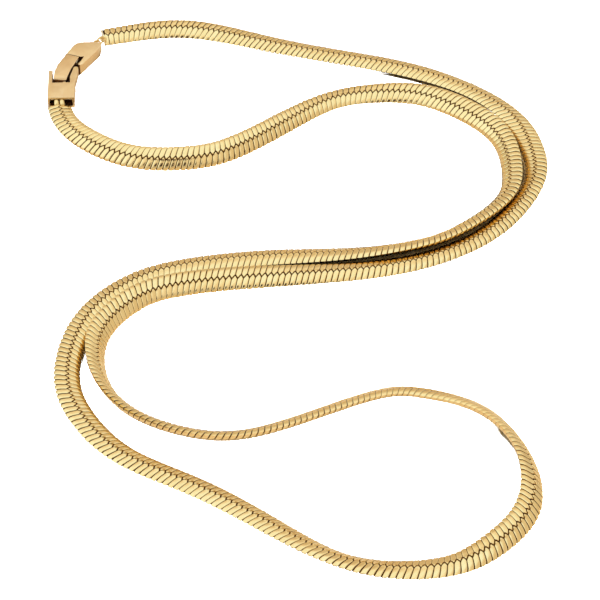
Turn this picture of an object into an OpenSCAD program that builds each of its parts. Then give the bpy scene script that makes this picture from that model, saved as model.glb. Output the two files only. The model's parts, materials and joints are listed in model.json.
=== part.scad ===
// A flat herringbone neck chain laid in an S on a table, with its clasp closed.
// Lengths are in millimetres and angles in degrees.
// The origin is on the table under the middle of the object.
// X runs to the right, Y away from the viewer, Z up.

/* [Chain] */
// Width of the flat chain across its broad face
chain_width = 5.3; // [4:0.1:8]
// Thickness of the chain at its middle
chain_thick = 1.8; // [1.2:0.1:3]
// Gap left where the two lengths of chain meet
chain_joint = 0.2; // [0.1:0.1:1]

/* [Catch box] */
// Outer width of the catch box
box_width = 6; // [5:0.1:8]
// Outer height of the catch box
box_height = 3; // [2.5:0.1:4]
// Thickness of the box's side walls
box_side = 0.5; // [0.3:0.1:1]
// Thickness of the box's floor and roof
box_plate = 0.5; // [0.3:0.1:1]
// Length of the closed roof, from the mouth to the notch
roof_length = 5.4; // [4:0.1:7]
// Length of the left arm, from the mouth
arm_length = 9.7; // [8:0.1:11]
// Width of the notch between the two arms
notch_width = 3.8; // [3.2:0.1:4.2]
// Width of the left arm
left_arm = 0.9; // [0.6:0.1:1]
// Radius of the bar that holds the chain's end
bar_radius = 0.35; // [0.25:0.05:0.5]

/* [Clasp body] */
// Height of the clasp body
body_height = 3.2; // [2.8:0.1:4]
// Thickness of the body's tongue that lies in the box
tongue_thick = 0.8; // [0.5:0.1:1]
// Radius of the eye that holds the ring
eye_radius = 0.8; // [0.7:0.05:1]

/* [Lever] */
// Height of the lever's top face
lever_top = 3; // [2.6:0.1:3.4]
// Thickness of the lever's plate
lever_thick = 1.1; // [0.8:0.1:1.4]
// Radius of the round root of the lever
root_radius = 1.1; // [0.9:0.05:1.3]
// Radius of the hinge pin
pin_radius = 0.3; // [0.2:0.05:0.4]
// Clearance between the hinge pin and its holes
pin_clear = 0.05; // [0.02:0.01:0.1]

/* [Rings] */
// Mean radius of the ring between the body and the chain
ring_radius = 0.93; // [0.8:0.01:1.1]
// Radius of the ring's wire
ring_wire = 0.22; // [0.15:0.01:0.3]

/* [Hidden] */
// Roundness of the small cylinders and the ring
$fn = 32;
// Half of the chain's width and half of its thickness
half_w = chain_width / 2;
half_t = chain_thick / 2;
// Sides of the chain's section
sides = 12;

// Named columns of the route table
X = 0;
Y = 1;
ROLL = 2;
// The route: X and Y in mm, then ROLL, how far the left-hand edge is lifted.
// It starts in the catch box and ends at the clasp body.
route = [
    // down from the box and along the upper near side
    [-54, 64.5, -5],
    [-53, 57, -5],
    [-51.5, 49.5, 5],
    [-45.5, 41.5, 35],
    [-35.5, 35.5, 30],
    [-24.5, 35, 45],
    [-15, 37, 35],
    [-2, 48.5, 25],
    [8.5, 58, 5],
    [19.5, 59.5, 15],
    // inner strand of the right-hand bend
    [29.5, 59, 30],
    [40, 51.5, 40],
    [47, 43, 45],
    [48, 31.5, 35],
    [47, 22.5, 35],
    [36.5, 12.5, 35],
    // upper strand of the middle
    [28.5, 7.5, 35],
    [13, 4.5, 20],
    [-3.5, 4.5, 5],
    [-21.5, 2, 10],
    // outer strand of the left-hand bend
    [-32.5, -2, 0],
    [-41, -10.5, 0],
    [-45, -21, -10],
    [-46, -34, -5],
    [-41.5, -44, 0],
    // the bottom strand
    [-33.5, -54.5, -5],
    [-18, -61.5, -5],
    [-4, -72, -10],
    [8, -81.5, -30],
    [19, -83.5, -10],
    [31, -82.5, -5],
    // the lower right loop
    [39.5, -76, 20],
    [46, -68, 20],
    [46.5, -57.5, 45],
    [43, -48, 55],
    [36.5, -40, 40],
    // the stretch that stands on its edge
    [25.5, -36.5, 30],
    [18.5, -36, 40],
    [2, -44.5, 40],
    [-10.5, -50, 45],
    [-21, -48.5, 45],
    [-31.5, -44, 55],
    // inner strand of the left-hand bend
    [-38, -36, 55],
    [-40.5, -26, 45],
    [-39.5, -17, 35],
    [-32.5, -8.5, 35],
    [-26, -5, 30],
    // lower strand of the middle
    [-11, -2.5, 25],
    [7, -1, 5],
    [23.5, 1, -5],
    [37.5, 7.5, -10],
    // outer strand of the right-hand bend
    [46.5, 16.5, -5],
    [53.5, 29, -20],
    [53, 38, -20],
    [50.5, 50, 0],
    [42, 59.5, 15],
    [28, 68, 0],
    // the far strand, back to the clasp body
    [11, 72.5, 5],
    [-5, 77, 0],
    [-21.5, 83.5, -15],
    [-33, 83, -15],
    [-46.5, 79, -5],
    [-60, 76.5, 0]
];
spans = len(route) - 3;
// Where the chain starts, where its two lengths meet and where it ends, in spans
start_at = 0.35;
meet_at = 30;
end_at = spans - 0.2;
// The sweep has a ring at each whole span, and these spans, which bend most, take one at their middle too
bends = [4, 7, 10, 12, 18, 23, 27, 35, 38, 40, 42, 44, 47, 49, 50, 51, 53, 58];

// Weights of the four nearest rows for a smooth route, and for its direction
function weights(t) = [
    pow(1 - t, 3) / 6,
    (3 * pow(t, 3) - 6 * t * t + 4) / 6,
    (3 * t * t - 3 * pow(t, 3) + 3 * t + 1) / 6,
    pow(t, 3) / 6
];
function slopes(t) = [
    -pow(1 - t, 2) / 2,
    (3 * t * t - 4 * t) / 2,
    (2 * t - 3 * t * t + 1) / 2,
    t * t / 2
];
function row_at(u) = min(spans - 1, max(0, floor(u)));
function mix4(w, i) = w[0] * route[i] + w[1] * route[i + 1] + w[2] * route[i + 2] + w[3] * route[i + 3];
function place(u) = mix4(weights(u - row_at(u)), row_at(u));
function heading(u) = let (d = mix4(slopes(u - row_at(u)), row_at(u))) atan2(d[Y], d[X]);

// Height of the chain's middle when a section with this roll rests on the table
function rest_height(roll) = sqrt(pow(half_w * sin(roll), 2) + pow(half_t * cos(roll), 2));

// One oval ring of the chain at u, as points in space
function section(u) = let (
    p = place(u),
    h = heading(u),
    z = rest_height(p[ROLL])
) [
    for (k = [0 : sides - 1]) let (
        a = 360 * k / sides,
        across = half_w * cos(a),
        through = half_t * sin(a),
        flat = across * cos(p[ROLL]) - through * sin(p[ROLL]),
        rise = across * sin(p[ROLL]) + through * cos(p[ROLL])
    )
    [p[X] - flat * sin(h), p[Y] + flat * cos(h), z + rise]
];

// Where the rings of a length from u0 to u1 stand
function bends_at(i) = len([for (b = bends) if (b == i) b]) > 0;
function stops(u0, u1) = concat(
    [u0],
    [
        for (i = [floor(u0) : ceil(u1)]) each [
            if (i > u0 + 0.05 && i < u1 - 0.05) i,
            if (bends_at(i) && i + 0.5 > u0 && i + 0.5 < u1) i + 0.5
        ]
    ],
    [u1]
);

// A length of chain from u0 to u1 as one closed sweep
module chain_sweep(u0, u1) {
    at = stops(u0, u1);
    rings = len(at);
    points = [for (u = at) each section(u)];
    walls = [
        for (i = [0 : rings - 2]) for (k = [0 : sides - 1])
        let (n = (k + 1) % sides, a = i * sides)
        each [
            [a + k, a + n, a + sides + n],
            [a + k, a + sides + n, a + sides + k]
        ]
    ];
    first_end = [[for (k = [0 : sides - 1]) sides - 1 - k]];
    last_end = [[for (k = [0 : sides - 1]) (rings - 1) * sides + k]];
    polyhedron(points = points, faces = concat(walls, first_end, last_end));
}

// Length of one span near the meeting place, to turn a gap in mm into spans
meet_span = norm([place(meet_at + 0.5)[X] - place(meet_at - 0.5)[X], place(meet_at + 0.5)[Y] - place(meet_at - 0.5)[Y]]);
meet_gap = chain_joint / meet_span;

// The catch box: its mouth, and how far it is turned
box_x = -52.1;
box_y = 55.4;
box_turn = 2;
bar_y = 1.3;
bar_z = 1.5;
// Outline of the right arm, which bends along the body and ends round, in the box's own frame
right_arm = [
    [notch_width / 2, roof_length - 0.2],
    [notch_width / 2, 7.6],
    [2.5, 10.2],
    [2.75, 10.9],
    [3.1, 11],
    [3.6, 10.6],
    [3.7, 9.8],
    [3.4, 7.6],
    [3, roof_length - 0.2]
];

// The body, seen from above
body_plan = [
    [-53.6, 66.9],
    [-52.6, 69.2],
    [-51.4, 72],
    [-50.2, 74.3],
    [-49.4, 75],
    [-48.2, 75.3],
    [-45.4, 75.4],
    [-44.3, 75],
    [-44, 74],
    [-45.2, 71.6],
    [-46.6, 69.2],
    [-47.7, 67.4],
    [-48.5, 66.9]
];
// The recess that takes the lever, open towards the box and the left, and the slot beside it
recess_plan = [
    [-55, 65.5],
    [-54.2, 68.5],
    [-53, 71.5],
    [-50.2, 70.5],
    [-48.5, 69.9],
    [-47.7, 70],
    [-48.3, 68.5],
    [-48.7, 67.6],
    [-49.2, 65.5]
];
// The tongue that reaches into the box under the lever
tongue_plan = [
    [-53.3, 67],
    [-53.5, 62.9],
    [-51.1, 62.8],
    [-50.6, 65],
    [-50, 67]
];
tongue_z = 0.8;
recess_z = 1.6;
// Under the ring's end the body is cut up to a nose: a point over its tip, the way it faces,
// and the cut seen from the side, measured back from the tip
nose_x = -44.3;
nose_y = 75.2;
nose_turn = 59;
nose_cut = [
    [-4, -1],
    [-4, 0],
    [-1.7, 0.8],
    [0, 2.2],
    [2, 2.2],
    [2, -1]
];

// The lever's plate, seen from above; it reaches to the body's left side
lever_plan = [
    [-54.15, 61.9],
    [-51.3, 61.7],
    [-50.95, 63.2],
    [-50.4, 65.6],
    [-49.9, 66.9],
    [-49.5, 68.1],
    [-49.1, 69.2],
    [-48.95, 69.7],
    [-51.9, 70.8],
    [-52.6, 69.2],
    [-53.6, 66.9],
    [-54.1, 64.6]
];
// The hinge line: a point on it, its height and its direction in plan
hinge_x = -50.55;
hinge_y = 69.45;
hinge_z = lever_top - root_radius;
hinge_turn = -20;
root_from = -1.1;
root_to = 1.55;
// The lug that holds the pin's left end, under the lever's left side
lug_radius = 0.5;
lug_from = -1.75;
lug_to = -1.25;
// Radius of the room that the lever's root turns in
pocket_radius = 1.56;

// The two ends of the chain, where the end links are held
near = place(start_at);
near_turn = heading(start_at);
far = place(end_at);
far_turn = heading(end_at);
// The links' plates in the chain's own frame: a wide side at the chain and a narrow one away from it
near_plate = [
    [-0.25, -2.3],
    [-0.25, 2.3],
    [-0.55, 2.3],
    [-0.95, 1.2],
    [-0.95, -1.2],
    [-0.55, -2.3]
];
far_plate = [
    [0.3, -2.2],
    [0.3, 1.3],
    [0.95, 1.2],
    [0.95, 0.3],
    [0.6, 0],
    [0.6, -1.9]
];

// The ring and the two eyes that it joins
ring_x = -44.5;
ring_y = 77.2;
ring_z = 2.2;
ring_turn = 45;
eye_low = 1.9;
eye_thick = 0.6;
eye_hole = 0.45;

// The first length of chain, from the catch box to the lower bend
module chain_first() {
    color("gold")
    chain_sweep(start_at, meet_at - meet_gap / 2);
}

// The second length of chain, from the lower bend to the clasp body
module chain_second() {
    color("gold")
    chain_sweep(meet_at + meet_gap / 2, end_at);
}

// The catch box with its two arms, and the bar across its mouth
module catch_box() {
    color("goldenrod")
    translate([box_x, box_y, 0])
    rotate([0, 0, box_turn])
    union() {
        difference() {
            translate([-box_width / 2, 0, 0])
            cube([box_width, roof_length, box_height]);
            translate([-box_width / 2 + box_side, -1, box_plate])
            cube([box_width - 2 * box_side, roof_length - box_side + 1, box_height - 2 * box_plate]);
        }
        // the floor goes on under the arms
        translate([-box_width / 2, roof_length - 0.2, 0])
        cube([box_width, arm_length - roof_length, box_plate]);
        // the left arm
        translate([-box_width / 2, roof_length - 0.2, 0])
        cube([left_arm, arm_length - roof_length + 0.2, box_height]);
        // the right arm
        linear_extrude(height = box_height)
        polygon(right_arm);
        // the small nub on the edge of the notch
        translate([0.3, roof_length - 0.1, box_height - box_plate])
        cube([0.7, 0.35, box_plate]);
        // the bar that the chain's end hangs on
        translate([-box_width / 2 + box_side / 2, bar_y, bar_z])
        rotate([0, 90, 0])
        cylinder(h = box_width - box_side, r = bar_radius);
    }
}

// Places its children on the hinge line, which runs along their X, with Y away from the lever's tip
module on_hinge() {
    translate([hinge_x, hinge_y, hinge_z])
    rotate([0, 0, hinge_turn])
    children();
}

// A round bar along the hinge line
module hinge_bar(from, to, radius) {
    on_hinge()
    translate([from, 0, 0])
    rotate([0, 90, 0])
    cylinder(h = to - from, r = radius);
}

// A plate with a hole and a stem, for the ring
module eye_plate(stem) {
    difference() {
        union() {
            cylinder(h = eye_thick, r = eye_radius);
            translate([-0.5, -stem, 0])
            cube([1, stem, eye_thick]);
        }
        translate([0, 0, -1])
        cylinder(h = eye_thick + 2, r = eye_hole);
    }
}

// The body, with the lever's recess, the tongue, the lug and the eye for the ring
module clasp_body() {
    color("goldenrod")
    difference() {
        union() {
            difference() {
                linear_extrude(height = body_height)
                polygon(body_plan);
                translate([nose_x, nose_y, 0])
                rotate([0, 0, nose_turn])
                rotate([90, 0, 0])
                linear_extrude(height = 16, center = true)
                polygon(nose_cut);
                translate([0, 0, recess_z])
                linear_extrude(height = body_height)
                polygon(recess_plan);
                hinge_bar(-3, root_to + 0.2, pocket_radius);
            }
            translate([0, 0, tongue_z])
            linear_extrude(height = tongue_thick)
            polygon(tongue_plan);
            hinge_bar(lug_from, lug_to, lug_radius);
            on_hinge()
            translate([lug_from, -lug_radius, 0.1 - hinge_z])
            cube([lug_to - lug_from, 2 * lug_radius, hinge_z - 0.1]);
            translate([ring_x - ring_radius * cos(ring_turn), ring_y - ring_radius * sin(ring_turn), eye_low])
            eye_plate(2.4);
        }
        hinge_bar(-3, 3.4, pin_radius + pin_clear);
    }
}

// The lever: a plate that lies in the recess, with a round root on the pin
module lever() {
    color("gold")
    difference() {
        union() {
            translate([0, 0, lever_top - lever_thick])
            linear_extrude(height = lever_thick)
            polygon(lever_plan);
            hinge_bar(root_from, root_to, root_radius);
        }
        hinge_bar(-3, 3, pin_radius + pin_clear);
        // room for the lug under the left side
        on_hinge()
        translate([-4, -0.95, -2])
        cube([4 + root_from, 2.2, 2 + lug_radius + 0.25]);
    }
}

// The pin that the lever turns on
module hinge_pin() {
    color("darkgoldenrod")
    hinge_bar(-1.7, 3.2, pin_radius);
}

// The ring that joins the body to the far end of the chain
module joining_ring() {
    color("gold")
    translate([ring_x, ring_y, ring_z])
    rotate([0, 0, ring_turn])
    rotate([90, 0, 0])
    rotate_extrude()
    translate([ring_radius, 0])
    circle(r = ring_wire);
}

// The link at the near end of the chain, whose eye goes round the bar in the box
module near_end_link() {
    color("gold")
    union() {
        translate([near[X], near[Y], 0.8])
        rotate([0, 0, near_turn])
        linear_extrude(height = 0.8)
        polygon(near_plate);
        translate([box_x, box_y, 0])
        rotate([0, 0, box_turn])
        difference() {
            union() {
                translate([-0.6, -0.4, 1])
                cube([1.2, bar_y + 0.4, 0.6]);
                translate([-0.6, bar_y, bar_z])
                rotate([0, 90, 0])
                cylinder(h = 1.2, r = 0.75);
            }
            translate([-2, bar_y, bar_z])
            rotate([0, 90, 0])
            cylinder(h = 4, r = bar_radius + 0.15);
        }
    }
}

// The link at the far end of the chain, with the eye for the ring
module far_end_link() {
    color("gold")
    union() {
        translate([far[X], far[Y], 0.5])
        rotate([0, 0, far_turn])
        linear_extrude(height = 1.1)
        polygon(far_plate);
        // a post from the plate up to the eye
        translate([far[X], far[Y], 0.5])
        rotate([0, 0, far_turn])
        translate([0.3, 0.4, 0])
        cube([0.6, 0.8, 2]);
        translate([far[X], far[Y], eye_low])
        rotate([0, 0, far_turn])
        translate([0.3, 0.6, 0])
        cube([0.6, 0.9, eye_thick]);
        translate([ring_x + ring_radius * cos(ring_turn), ring_y + ring_radius * sin(ring_turn), eye_low])
        difference() {
            cylinder(h = eye_thick, r = eye_radius);
            translate([0, 0, -1])
            cylinder(h = eye_thick + 2, r = eye_hole);
        }
    }
}

chain_first();
chain_second();
catch_box();
clasp_body();
lever();
hinge_pin();
joining_ring();
near_end_link();
far_end_link();
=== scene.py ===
# %% [markdown]
# # A flat herringbone neck chain
#
# The object is a gold-coloured herringbone chain, laid in an S on a table, with a fold-over
# clasp. Everything here is in metres, in the frame of the construction model: X to the right,
# Y away from the viewer, Z up from the table. This first cell loads that model. Its solids give
# the true sizes, and the pieces made below take their places.

import json
import math

import bmesh
import bpy
import numpy as np
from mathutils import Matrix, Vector

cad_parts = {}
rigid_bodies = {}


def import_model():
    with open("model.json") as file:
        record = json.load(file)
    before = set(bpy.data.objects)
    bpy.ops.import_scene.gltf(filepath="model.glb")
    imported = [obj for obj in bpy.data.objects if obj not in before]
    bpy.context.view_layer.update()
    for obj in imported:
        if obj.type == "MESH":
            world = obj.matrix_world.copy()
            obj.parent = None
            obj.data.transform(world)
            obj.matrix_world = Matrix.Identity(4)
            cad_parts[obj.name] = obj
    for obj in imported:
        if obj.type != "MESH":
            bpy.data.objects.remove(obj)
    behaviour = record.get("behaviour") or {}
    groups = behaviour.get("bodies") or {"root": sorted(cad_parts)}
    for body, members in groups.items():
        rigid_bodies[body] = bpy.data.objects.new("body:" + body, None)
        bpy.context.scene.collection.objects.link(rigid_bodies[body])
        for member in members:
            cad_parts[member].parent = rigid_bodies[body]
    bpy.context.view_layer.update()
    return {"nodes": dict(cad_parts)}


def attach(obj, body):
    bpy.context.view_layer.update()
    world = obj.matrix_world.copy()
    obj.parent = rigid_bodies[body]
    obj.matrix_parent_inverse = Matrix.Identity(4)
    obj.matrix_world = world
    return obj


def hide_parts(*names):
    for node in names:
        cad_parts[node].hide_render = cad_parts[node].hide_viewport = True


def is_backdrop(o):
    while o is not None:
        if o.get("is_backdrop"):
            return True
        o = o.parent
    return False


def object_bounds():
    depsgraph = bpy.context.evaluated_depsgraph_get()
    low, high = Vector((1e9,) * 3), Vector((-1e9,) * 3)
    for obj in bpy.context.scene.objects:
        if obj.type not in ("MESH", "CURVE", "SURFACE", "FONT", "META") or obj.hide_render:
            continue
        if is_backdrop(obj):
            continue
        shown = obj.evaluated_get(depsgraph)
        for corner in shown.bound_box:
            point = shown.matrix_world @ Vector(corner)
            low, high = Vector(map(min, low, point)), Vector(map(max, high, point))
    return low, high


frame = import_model()
MM = 0.001

# %% [markdown]
# ## The camera first
#
# The chain is seen from 43 degrees above the table with a long lens, so that its far side is
# hardly smaller than its near side. A camera looks along its own -Z axis, so turning it about X
# by 90 - 43 degrees from straight down gives that angle. The distance follows from the lens.

# %% Camera
ELEVATION = math.radians(43)
LOOK_AT = Vector((0.0015, -0.008, 0))
DISTANCE = 0.556
camera = bpy.data.objects.new("camera", bpy.data.cameras.new("camera"))
camera.data.lens = 160.8
camera.data.sensor_width = 36
camera.data.clip_start = 0.01
camera.location = LOOK_AT + DISTANCE * Vector((0, -math.cos(ELEVATION), math.sin(ELEVATION)))
camera.rotation_euler = (math.radians(90) - ELEVATION, 0, 0)
bpy.context.scene.collection.objects.link(camera)
bpy.context.scene.camera = camera
print("camera at", [round(c, 3) for c in camera.location])

# %% [markdown]
# ## The way that the chain lies
#
# A herringbone chain is a ribbon: it bends sideways only a little and stands up on one edge
# where it is turned hard. Its course is a smooth curve through a short table of rows. Each row
# holds X and Y in mm and the roll, how far the left edge is lifted, in degrees. The rows
# are the ones that the construction model uses, so the plates end up inside its solids. A cubic
# B-spline through them has no kinks, because each point is a blend of the four nearest rows.

# %% Route of the chain
ROUTE = np.array([
    (-54, 64.5, -5), (-53, 57, -5), (-51.5, 49.5, 5), (-45.5, 41.5, 35), (-35.5, 35.5, 30),
    (-24.5, 35, 45), (-15, 37, 35), (-2, 48.5, 25), (8.5, 58, 5), (19.5, 59.5, 15), (29.5, 59, 30),
    (40, 51.5, 40), (47, 43, 45), (48, 31.5, 35), (47, 22.5, 35), (36.5, 12.5, 35),
    (28.5, 7.5, 35), (13, 4.5, 20), (-3.5, 4.5, 5), (-21.5, 2, 10), (-32.5, -2, 0),
    (-41, -10.5, 0), (-45, -21, -10), (-46, -34, -5), (-41.5, -44, 0), (-33.5, -54.5, -5),
    (-18, -61.5, -5), (-4, -72, -10), (8, -81.5, -30), (19, -83.5, -10), (31, -82.5, -5),
    (39.5, -76, 20), (46, -68, 20), (46.5, -57.5, 45), (43, -48, 55), (36.5, -40, 40),
    (25.5, -36.5, 30), (18.5, -36, 40), (2, -44.5, 40), (-10.5, -50, 45), (-21, -48.5, 45),
    (-31.5, -44, 55), (-38, -36, 55), (-40.5, -26, 45), (-39.5, -17, 35), (-32.5, -8.5, 35),
    (-26, -5, 30), (-11, -2.5, 25), (7, -1, 5), (23.5, 1, -5), (37.5, 7.5, -10), (46.5, 16.5, -5),
    (53.5, 29, -20), (53, 38, -20), (50.5, 50, 0), (42, 59.5, 15), (28, 68, 0), (11, 72.5, 5),
    (-5, 77, 0), (-21.5, 83.5, -15), (-33, 83, -15), (-46.5, 79, -5), (-60, 76.5, 0),
]) * (MM, MM, 1)
SPANS = len(ROUTE) - 3
START_AT, MEET_AT, END_AT = 0.35, 30, SPANS - 0.2
HALF_WIDTH = 5.3 * MM / 2
HALF_THICK = 1.8 * MM / 2


def route_at(u):
    """Blend the four nearest rows of the table at each value of u."""
    first = np.clip(np.floor(u).astype(int), 0, SPANS - 1)
    t = (u - first)[:, None]
    near = (1 - t) ** 3 * ROUTE[first] + (3 * t**3 - 6 * t**2 + 4) * ROUTE[first + 1]
    far = (3 * t**2 - 3 * t**3 + 3 * t + 1) * ROUTE[first + 2] + t**3 * ROUTE[first + 3]
    return (near + far) / 6


# %% [markdown]
# Equal plates need equal steps along the curve, and the spline's own parameter doesn't run
# evenly. So the curve is sampled finely once, the distance walked is added up, and everything
# later is looked up by that distance.

# %% Measure the route by distance
ROUTE_SAMPLES = 12000
u_fine = np.linspace(START_AT, END_AT, ROUTE_SAMPLES)
rows_fine = route_at(u_fine)
steps = np.hypot(np.diff(rows_fine[:, 0]), np.diff(rows_fine[:, 1]))
walked = np.concatenate([[0], np.cumsum(steps)])
heading_fine = np.unwrap(np.arctan2(np.gradient(rows_fine[:, 1]), np.gradient(rows_fine[:, 0])))
bend_fine = np.gradient(heading_fine) / np.gradient(walked)
roll_fine = np.radians(rows_fine[:, 2])
LENGTH = walked[-1]
MEET = float(np.interp(MEET_AT, u_fine, walked))
print("chain length", round(LENGTH / MM, 1), "mm")


def along(distance):
    """Centre, heading, roll and bend of the chain at each distance from its start."""
    tracks = (rows_fine[:, 0], rows_fine[:, 1], heading_fine, roll_fine, bend_fine)
    x, y, heading, roll, bend = (np.interp(distance, walked, track) for track in tracks)
    # the section rests on the table, however far it is rolled
    z = np.hypot(HALF_WIDTH * np.sin(roll), HALF_THICK * np.cos(roll))
    return x, y, z, heading, roll, bend


# %% [markdown]
# ## A plate's own coordinates
#
# The chain's section is a flat oval. A point on it is given by how far it lies round the oval
# from the middle of the top face, positive to the left, and by its height above the surface.
# This helper turns those two numbers, the distance along the chain and a small step forward
# into a point in space. It works on whole arrays, so thousands of points cost one call.

# %% Points on the oval section
OVAL_SAMPLES = 2000
oval_angle = np.linspace(0, math.pi, OVAL_SAMPLES)
oval_side = HALF_WIDTH * np.sin(oval_angle)
oval_rise = HALF_THICK * np.cos(oval_angle)
oval_walk = np.concatenate([[0], np.cumsum(np.hypot(np.diff(oval_side), np.diff(oval_rise)))])
HALF_ROUND = oval_walk[-1]
print("half way round the section is", round(HALF_ROUND / MM, 2), "mm")


def on_chain(distance, around, height, forward):
    """Points at a distance along the chain, so far around its section, above its surface."""
    x, y, z, heading, roll, bend = along(distance)
    # beyond the back seam a point simply goes on round
    around = (around + HALF_ROUND) % (2 * HALF_ROUND) - HALF_ROUND
    angle = np.sign(around) * np.interp(np.abs(around), oval_walk, oval_angle)
    normal_side = np.sin(angle) / HALF_WIDTH
    normal_rise = np.cos(angle) / HALF_THICK
    size = np.hypot(normal_side, normal_rise)
    side = HALF_WIDTH * np.sin(angle) + height * normal_side / size
    rise = HALF_THICK * np.cos(angle) + height * normal_rise / size
    flat = side * np.cos(roll) - rise * np.sin(roll)
    up = side * np.sin(roll) + rise * np.cos(roll)
    spread = 1 - bend * flat
    points = np.stack([
        x - flat * np.sin(heading) + forward * np.cos(heading),
        y + flat * np.cos(heading) + forward * np.sin(heading),
        z + up,
    ], axis=-1)
    return points, spread


# %% [markdown]
# ## One half-plate, and its place in the row
#
# Each link shows as two C-shaped half-plates, one on each side. A half-plate starts at the seam
# on the top face, goes round the edge and ends at the seam underneath. Its two ends are rounded
# tips. The two sides are set half a step apart, so the tips lie between each other and make the
# zigzag seam. A half-plate could be one object used a thousand times, but the chain bends and
# rolls, so each plate is laid straight onto the route instead, from one small grid of numbers.

# %% The grid of a half-plate
PITCH = LENGTH / round(LENGTH / (1.26 * MM))
PLATE_WIDTH = 0.885 * PITCH
TIP = 0.24 * MM
SLOT_DEPTH = 0.36 * MM
# columns over the plate's width: place from -1 to 1, height in mm, how much rim wear and painted
# sheen it gets
COLUMNS = np.array([
    (-1.00, -0.36, 0.0), (-1.00, -0.07, 0.6), (-0.86, -0.010, 1.0), (-0.62, 0.012, 0.3),
    (-0.30, 0.026, 0.0), (0.00, 0.030, 0.0), (0.30, 0.026, 0.0), (0.62, 0.012, 0.3),
    (0.86, -0.010, 1.0), (1.00, -0.07, 0.6), (1.00, -0.36, 0.0),
])
# rows at a tip: distance behind its edge in mm, height in mm, share of the tip's curve, width
TIP_ROWS = np.array([
    (0.05, -0.36, 1.0, 0.66), (0.05, -0.04, 1.0, 0.66), (0.11, 0.045, 1.0, 0.73),
    (0.22, 0.080, 0.85, 0.83), (0.38, 0.045, 0.5, 0.94), (0.62, 0.000, 0.2, 1.0),
])
# the rows between the tips, and how far from the seams they start
MIDDLE_ROWS, MIDDLE_START = 7, 0.9 * MM
# the part of a tip that gets the rims' wear and painted sheen, in mm behind its edge
WEAR_AND_SHEEN_TIP = 0.1


def plate_grid(side):
    """Around, height, forward and rim values of a half-plate, as arrays of rows by columns."""
    across = COLUMNS[:, 0] * PLATE_WIDTH / 2
    tip_edge = -TIP * np.cos(2 * math.pi * across / PITCH)
    rows = []
    for back, lift, curve, width in TIP_ROWS:
        place = tip_edge * curve + back * MM
        wear_and_sheen = np.maximum(COLUMNS[:, 2], back < WEAR_AND_SHEEN_TIP)
        rows.append((place, (COLUMNS[:, 1] + lift) * MM, across * width, wear_and_sheen))
    for place in np.linspace(MIDDLE_START, HALF_ROUND - MIDDLE_START, MIDDLE_ROWS):
        rows.append((np.full(len(across), place), COLUMNS[:, 1] * MM, across, COLUMNS[:, 2]))
    # the other end is the same, turned round
    rows += [(HALF_ROUND - place, *rest) for place, *rest in rows[:len(TIP_ROWS)][::-1]]
    around, height, forward, rim = np.array(rows).transpose(1, 0, 2)
    height = np.maximum(height, -SLOT_DEPTH)
    return side * around, height, forward, rim


grid_rows = 2 * len(TIP_ROWS) + MIDDLE_ROWS
grid_columns = len(COLUMNS)
print("a half-plate has", 2 * (grid_rows - 1) * (grid_columns - 1), "triangles")

# %% [markdown]
# ## Helpers for meshes
#
# Every piece needs the same few steps, so they are written once. The tube helper joins rings of
# points, for the core, the blocks, the rods, the wires and the caps.

# %% Mesh helpers
def new_piece(name, verts, faces):
    """A mesh object from points in metres and faces."""
    mesh = bpy.data.meshes.new(name)
    mesh.from_pydata(verts, [], faces)
    piece = bpy.data.objects.new(name, mesh)
    bpy.context.scene.collection.objects.link(piece)
    return piece


def smooth(piece, fold=40):
    """Shade a piece smooth, except at folds sharper than an angle in degrees."""
    piece.data.shade_smooth()
    piece.data.set_sharp_from_angle(angle=math.radians(fold))


def tube_faces(rings, sides, loop=False):
    """Faces that join rings of points, either in a loop or with the two ends closed."""
    last = (rings - 1) * sides
    faces = [] if loop else [tuple(reversed(range(sides))), tuple(range(last, last + sides))]
    for i in range(rings if loop else rings - 1):
        a, b = i * sides, (i + 1) % rings * sides
        faces += [(a + k, a + (k + 1) % sides, b + (k + 1) % sides, b + k) for k in range(sides)]
    return faces


print("helpers ready: new_piece, smooth, tube_faces")

# %% [markdown]
# The slots between the plates lean: they go forward as they go round to the left. The lean is
# the same all the way round, like a screw thread, and brings a slot three steps on in one whole
# turn, so the tips still meet at the seam underneath. But the slots aren't all equally open.
# Inside a bend the plates crowd together and outside they fan out, at the seam every slot is
# open, and on the flanks away from the viewer they hardly show. One number for each point says
# how open its slot is, and how strongly the slot's painted shade shows.

# %% How open the slots are
FAR_SLOTS = 0.25
LEVEL_SLOTS, TURNED_AWAY = 0.72, 0.5
CROWDING = 14
SEAM_OPEN, SEAM_REACH = 1.5, 0.45 * MM


def slot_opening(distance, rounds):
    """How open the slot is at each point, up to 1, and how far the bend spreads the plates."""
    surface, spread = on_chain(distance, rounds, 0, 0)
    outward = surface - on_chain(distance, rounds, -1 * MM, 0)[0]
    from_seam = np.minimum(np.abs(rounds), HALF_ROUND - np.abs(rounds))
    opening = np.clip(LEVEL_SLOTS - TURNED_AWAY * outward[..., 1] / MM, FAR_SLOTS, 1)
    opening = np.clip(opening * (1 + CROWDING * (spread - 1)), FAR_SLOTS, 1)
    at_seam = np.clip(SEAM_OPEN - from_seam / SEAM_REACH, 0, 1)
    return np.maximum(opening, at_seam), spread


print("slots on the far flanks are open to", FAR_SLOTS)

# %% [markdown]
# Now the grid is laid onto the route once for each half-plate, all in one array. A plate is as
# wide as the room it has, less its slot. Round the edge of the chain it is at its narrowest.
# No two plates sit quite alike, so each gets a hair of its own height and tilt. The random
# numbers have a fixed seed, so the chain comes out the same every time. Three attributes go
# along for the finish: a tone for each plate, the rims for wear and a painted highlight, and the
# slot shade, the painted shade in the slots.

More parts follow.
